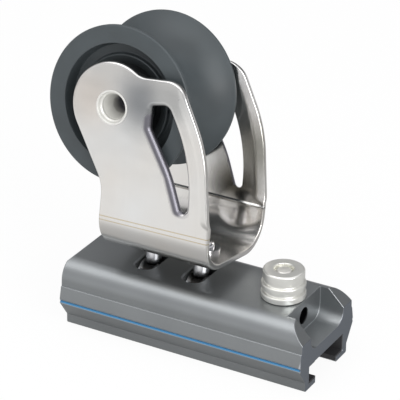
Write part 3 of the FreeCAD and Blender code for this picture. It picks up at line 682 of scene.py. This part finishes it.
def dressHinge():
    rodEnd = Vector((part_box("pivot_rod")[1].x, rodCentre.y, rodCentre.z))
    rodFinish = makeTurnedFinish("rodSteel", turnedSteel, rodCentre, alongTrack, (rodEnd, *holeShade["rodEnd"]))
    dress(["pivot_rod"], rodFinish)
    for ending in ("rear", "front"):
        legCentre = middleOf("leg_screw_" + ending)
        # each leg's eye is round the rod
        eyeCentre = legCentre + strapUp * (rodCentre - legCentre).dot(strapUp)
        legFinish = makeTurnedFinish("legSteel" + ending.capitalize(), legSteel, legCentre, strapUp,
                                     (eyeCentre, *holeShade["legEye"]))
        dress(["leg_" + ending, "washer_" + ending, "leg_screw_" + ending], legFinish)


dressHinge()
print("rod and legs dressed")


# Axle: a hollow rivet with satin dishes at both ends, and painted shade deep in its bore
axleRivet = {
    "halfLine": [(28.3, 7.9, 0.15), (28.3, 7.1, 0.4), (19.3, 4.3, 0.7)],
    "neck": [(28.0, 7.9, 0), (26.1, 6.0, 0.3)],
    "boreRadius": 4.3,
    "finish": dict(turnedSteel, metallic=0.3, colour=(0.74, 0.735, 0.70), darkColour=(0.66, 0.655, 0.62),
                   ringDensity=1400, roughness=(0.36, 0.46)),
    "boreShadeReach": 0.0205,
    "boreShadeColour": (0.26, 0.25, 0.29),
}


def makeAxle(axle):
    right = axle["neck"][::-1] + axle["halfLine"]
    left = [(-along, radius, soft) for along, radius, soft in reversed(right)]
    bore = [(0, axle["boreRadius"], 0)]
    mesh = turnedMesh("axleRivet", bore + left + right + bore, sheaveCentre, sheaveAxis)
    finish = makeTurnedFinish("axleSteel", axle["finish"], sheaveCentre, sheaveAxis,
                              (sheaveCentre, axle["boreShadeReach"], axle["boreShadeColour"]))
    newPiece("axleRivet", mesh, "bracket", "axle", finish)


makeAxle(axleRivet)


# Plunger: the grooved knob, and the pin whose domed head shows in its dish. Heights are above the deck.
plungerKnob = {
    "line": [
        (40, 3.05, 0), (33.05, 3.05, 0), (33.05, 10.2, 0.7), (36.15, 10.2, 0.65), (36.15, 8.9, 0.6),
        (38.05, 8.9, 0.6), (38.05, 10.1, 0.6), (40.65, 10.1, 0.6), (40.65, 8.8, 0.6), (42.55, 8.8, 0.3),
        (42.55, 9.45, 0.3), (46.65, 9.45, 0.9), (46.65, 4.7, 0.35), (44.25, 4.5, 0.3), (44.25, 3.05, 0),
        (40, 3.05, 0),
    ],
    "finish": dict(turnedSteel, metallic=0.8, colour=(0.92, 0.92, 0.87), darkColour=(0.84, 0.835, 0.79),
                   ringDensity=1300, roughness=(0.24, 0.36)),
}
plungerPin = {
    "line": [
        (4.5, 0, 0), (4.5, 4.0, 1.0), (11.0, 4.0, 0), (11.0, 4.2, 0), (16.4, 4.2, 0), (16.4, 5.3, 0.3),
        (18.4, 5.3, 0.3), (18.4, 3.0, 0), (44.25, 3.0, 0), (44.25, 3.8, 0), (45.95, 3.8, 1.2), (46.15, 0, 0),
    ],
    "finish": dict(turnedSteel, metallic=0.7, colour=(0.88, 0.87, 0.82), darkColour=(0.80, 0.79, 0.74),
                   ringDensity=1600, roughness=(0.30, 0.40)),
}


def makePlunger(knob, pin):
    foot = Vector((knobCentre.x, knobCentre.y, 0))
    for name, settings, node, slotName in (("plungerKnob", knob, "plunger_knob", "knob_silver"),
                                           ("plungerPin", pin, "plunger_pin", "steel_plain")):
        mesh = turnedMesh(name, settings["line"], foot, upright)
        finish = makeTurnedFinish(name + "Steel", settings["finish"], knobCentre, upright)
        newPiece(name, mesh, "plunger", node, finish)


# The spring, pressed flat against its seat in the sleeve, keeps the node's shape in a mesh of its own
def makeSpring():
    finish = makeTurnedFinish("springSteel", turnedSteel, knobCentre, upright)
    piece = newPiece("plungerSpring", nodes["plunger_spring"].data.copy(), "slider",
                     "plunger_spring", finish)
    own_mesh(piece)


makePlunger(plungerKnob, plungerPin)
makeSpring()
print("axle and plunger made")


# Sheave: dark moulded composite. The throat's floor is an arc from the middle, and the line goes on from its
# end to the bore, in mm.
sheaveComposite = {
    "radius": 36.0,
    "throatDepth": 12.5,
    "throatHalf": 20.5,
    "throatSteps": 24,
    "throatRound": 0.6,
    "line": [
        (22.3, 36.0, 0.8), (22.3, 27.8, 0.5), (15.3, 26.8, 0.8), (15.3, 22.3, 0.8), (18.0, 22.3, 0.6),
        (15.5, 18.0, 0.6), (8.8, 17.5, 0.8), (8.8, 12.5, 0.8), (23.66, 12.5, 0.5), (23.66, 8.0, 0),
    ],
    "segments": 192,
    "colour": (0.047, 0.056, 0.060),
    "paleColour": (0.061, 0.074, 0.080),
    "edgeHighlightColour": (0.13, 0.14, 0.145),
    "recessShadeColour": (0.026, 0.031, 0.033),
    "recessPlace": 22.0,
    "recessRadius": 27.6,
    "recessGain": 8.0,
    "roughness": (0.40, 0.56),
    "ringDensity": 1400,
    "ringHeight": 0.000006,
    "grain": {"Scale": 2200},
    "grainHeight": 0.000012,
    "patches": {"Size": 0.018, "Contrast": 2.0},
    "edgeShading": {"Radius": 0.0008, "Gain": 2.0, "Breakup": 260},
}


def makeSheaveFinish(settings):
    material, tree, shader = newFinish("sheaveComposite")
    rings = useGroup(tree, turnedRings, Centre=sheaveCentre, Axis=sheaveAxis, Density=settings["ringDensity"])
    grain = useGroup(tree, fineGrain, **settings["grain"])
    patches = useGroup(tree, softPatches, **settings["patches"])
    edgeShading = useGroup(tree, edgeShadingMask, **settings["edgeShading"])
    colour = blendColours(tree, patches, settings["colour"], settings["paleColour"])
    # painted highlight along the edges
    colour = blendColours(tree, edgeShading, colour, settings["edgeHighlightColour"])
    # painted shade: the recesses round the hub are darkened
    for side in (-1, 1):
        place = sheaveCentre + sheaveAxis * settings["recessPlace"] * side * mm
        inside = useGroup(tree, softSpot, Centre=place, Radius=settings["recessRadius"] * mm,
                          Gain=settings["recessGain"])
        colour = blendColours(tree, inside, colour, settings["recessShadeColour"])
    setSurface(tree, shader, colour, spread(tree, patches, settings["roughness"]),
               [(rings, settings["ringHeight"]), (grain, settings["grainHeight"])])
    return material


def makeSheave(sheave):
    depth, half, count = sheave["throatDepth"], sheave["throatHalf"], sheave["throatSteps"]
    floor = sheave["radius"] - depth
    bend = (half ** 2 + depth ** 2) / (2 * depth)
    swings = [math.asin(half / bend) * i / count for i in range(1, count + 1)]
    arc = [(bend * math.sin(swing), floor + bend * (1 - math.cos(swing)), 0) for swing in swings]
    arc[-1] = (*arc[-1][:2], sheave["throatRound"])
    right = arc + sheave["line"]
    left = [(-along, radius, soft) for along, radius, soft in reversed(right)]
    middle = [(0, floor, 0)]
    mesh = turnedMesh("sheaveMoulding", middle + right + left + middle, sheaveCentre, sheaveAxis,
                      sheave["segments"])
    newPiece("sheaveMoulding", mesh, "sheave", "sheave", makeSheaveFinish(sheave))


makeSheave(sheaveComposite)
print("sheave made")


# Plain moulded plastics: the liners, and the bush with its washers
moulded = {
    "grain": {"Scale": 1800},
    "grainHeight": 0.00001,
    "patches": {"Size": 0.01, "Contrast": 1.6},
}
liner = dict(moulded, colour=(0.028, 0.028, 0.030), paleColour=(0.045, 0.045, 0.047), roughness=(0.38, 0.52))
bush = dict(moulded, colour=(0.78, 0.77, 0.72), paleColour=(0.84, 0.83, 0.79), roughness=(0.36, 0.50))

# Blue strips in the flanks, with painted shade under the upper edge of their hollow
stripe = dict(moulded, colour=(0.040, 0.185, 0.370), paleColour=(0.055, 0.225, 0.420), roughness=(0.24, 0.38),
              deepToneAndShade=(0.008, 0.075, 0.160), shadePlace=(0, 0, 0.01460), shadeWidth=0.0006)


def makePlasticFinish(name, settings):
    material, tree, shader = newFinish(name)
    grain = useGroup(tree, fineGrain, **settings["grain"])
    patches = useGroup(tree, softPatches, **settings["patches"])
    colour = blendColours(tree, patches, settings["colour"], settings["paleColour"])
    if "deepToneAndShade" in settings:
        # painted shade under the upper edge of the hollow
        hollowShade = lineThrough(tree, Vector(settings["shadePlace"]), upright, settings["shadeWidth"])
        colour = blendColours(tree, hollowShade, colour, settings["deepToneAndShade"])
    setSurface(tree, shader, colour, spread(tree, grain, settings["roughness"]),
               [(grain, settings["grainHeight"])])
    return material


dress(["slide_liner_near", "slide_liner_far"], makePlasticFinish("linerAcetal", liner))
dress(["sheave_bush", "thrust_washer_near", "thrust_washer_far"], makePlasticFinish("bushAcetal", bush))
dress(["accent_stripe_near", "accent_stripe_far"], makePlasticFinish("stripeInlay", stripe))
print("plastics dressed")


# Floor, world and lamps
studio = {
    "floorSize": 16,
    "floorColour": (0.90, 0.90, 0.90),
    "floorRoughness": 0.9,
    "floorWhite": 0.93,
    "pools": [  # centre, how far the fade reaches, and its levels
        ((-0.34, -0.56, 0), (0.20, 1.10), (1.0, 0.34)),
        ((0, 0, 0), (0.06, 0.24), (0.62, 1.0)),
    ],
    "worldStrength": 1.0,
    "worldBlue": 1.02,
    "backLevels": [(0.0, 0.85), (0.10, 0.52), (0.28, 0.12), (0.50, 0.15), (0.68, 0.76), (0.90, 0.90)],
    "frontLevels": [(0.0, 0.90), (0.10, 0.82), (0.28, 0.74), (0.50, 0.62), (0.68, 0.80), (0.90, 0.90)],
    "worldTurn": (-0.35, 0.20),
    "lamps": [
        ("overheadLamp", (-0.25, -0.35, 1.10), (1.1, 0.9), 4.0),
        ("rightLamp", (1.00, -0.55, 0.62), (0.8, 0.8), 9.0),
    ],
    "lampAim": (0, 0, 0.06),
}


def makeFloor(settings):
    bpy.ops.mesh.primitive_plane_add(size=settings["floorSize"], location=(0, 0, 0))
    floor = bpy.context.object
    floor.name = "floor"
    material, tree, shader = newFinish("paleFloor")
    shader.inputs["Base Color"].default_value = (*settings["floorColour"], 1)
    shader.inputs["Roughness"].default_value = settings["floorRoughness"]
    # the floor is white to the camera. In reflections it is a painted pool of light that fades outwards, with
    # painted shade close by for the object's shadow.
    path = addNode(tree, "ShaderNodeLightPath").outputs
    place = objectPlace(tree)
    levels = [spread(tree, calculateVector(tree, "DISTANCE", place, centre), span, ends, "SMOOTHSTEP")
              for centre, ends, span in settings["pools"]]
    lit = calculate(tree, "MULTIPLY", *levels)
    mirrored = calculate(tree, "SUBTRACT", 1.0, path["Is Camera Ray"])
    dimmed = calculate(tree, "MULTIPLY", mirrored, calculate(tree, "SUBTRACT", 1.0, lit))
    glow = addNode(tree, "ShaderNodeEmission", {"Strength": calculate(tree, "SUBTRACT", 1.0, dimmed)})
    seen = calculate(tree, "MAXIMUM", path["Is Camera Ray"], path["Is Glossy Ray"])
    seen = calculate(tree, "MAXIMUM", seen, path["Is Transmission Ray"])
    white = calculate(tree, "MULTIPLY", seen, settings["floorWhite"])
    mix = addNode(tree, "ShaderNodeMixShader", {
        "Fac": white,
        1: shader.outputs["BSDF"],
        2: glow.outputs["Emission"],
    })
    setInput(tree, tree.nodes["Material Output"].inputs["Surface"], mix.outputs["Shader"])
    floor.data.materials.append(material)


# The world is brightest overhead and darker low down, most of all at the back, as a room round a lit table is
def makeWorld(settings):
    world = bpy.data.worlds.new("studioWorld")
    world.use_nodes = True
    bpy.context.scene.world = world
    tree = world.node_tree
    place = addNode(tree, "ShaderNodeTexCoord").outputs["Generated"]
    split = addNode(tree, "ShaderNodeSeparateXYZ", {"Vector": place}).outputs
    sides = []
    for stops in (settings["frontLevels"], settings["backLevels"]):
        ramp = addNode(tree, "ShaderNodeValToRGB", {"Fac": split["Z"]})
        ramp.color_ramp.interpolation = "EASE"
        while len(ramp.color_ramp.elements) < len(stops):
            ramp.color_ramp.elements.new(0.5)
        for element, (position, level) in zip(ramp.color_ramp.elements, stops):
            element.position = position
            element.color = (level, level, level * settings["worldBlue"], 1)
        sides.append(ramp.outputs["Color"])
    back = spread(tree, split["Y"], (0.0, 1.0), settings["worldTurn"], "SMOOTHSTEP")
    background = tree.nodes["Background"]
    background.inputs["Strength"].default_value = settings["worldStrength"]
    setInput(tree, background.inputs["Color"], blendColours(tree, back, *sides))


def makeLamps(settings):
    for name, place, size, power in settings["lamps"]:
        data = bpy.data.lights.new(name, "AREA")
        data.shape = "RECTANGLE"
        data.size, data.size_y = size
        data.energy = power
        lamp = bpy.data.objects.new(name, data)
        bpy.context.scene.collection.objects.link(lamp)
        lamp.location = place
        aim = Vector(settings["lampAim"]) - lamp.location
        lamp.rotation_mode = "QUATERNION"
        lamp.rotation_quaternion = aim.to_track_quat("-Z", "Y")


makeFloor(studio)
makeWorld(studio)
makeLamps(studio)
bpy.context.scene.view_settings.view_transform = "Standard"
print("studio lit")
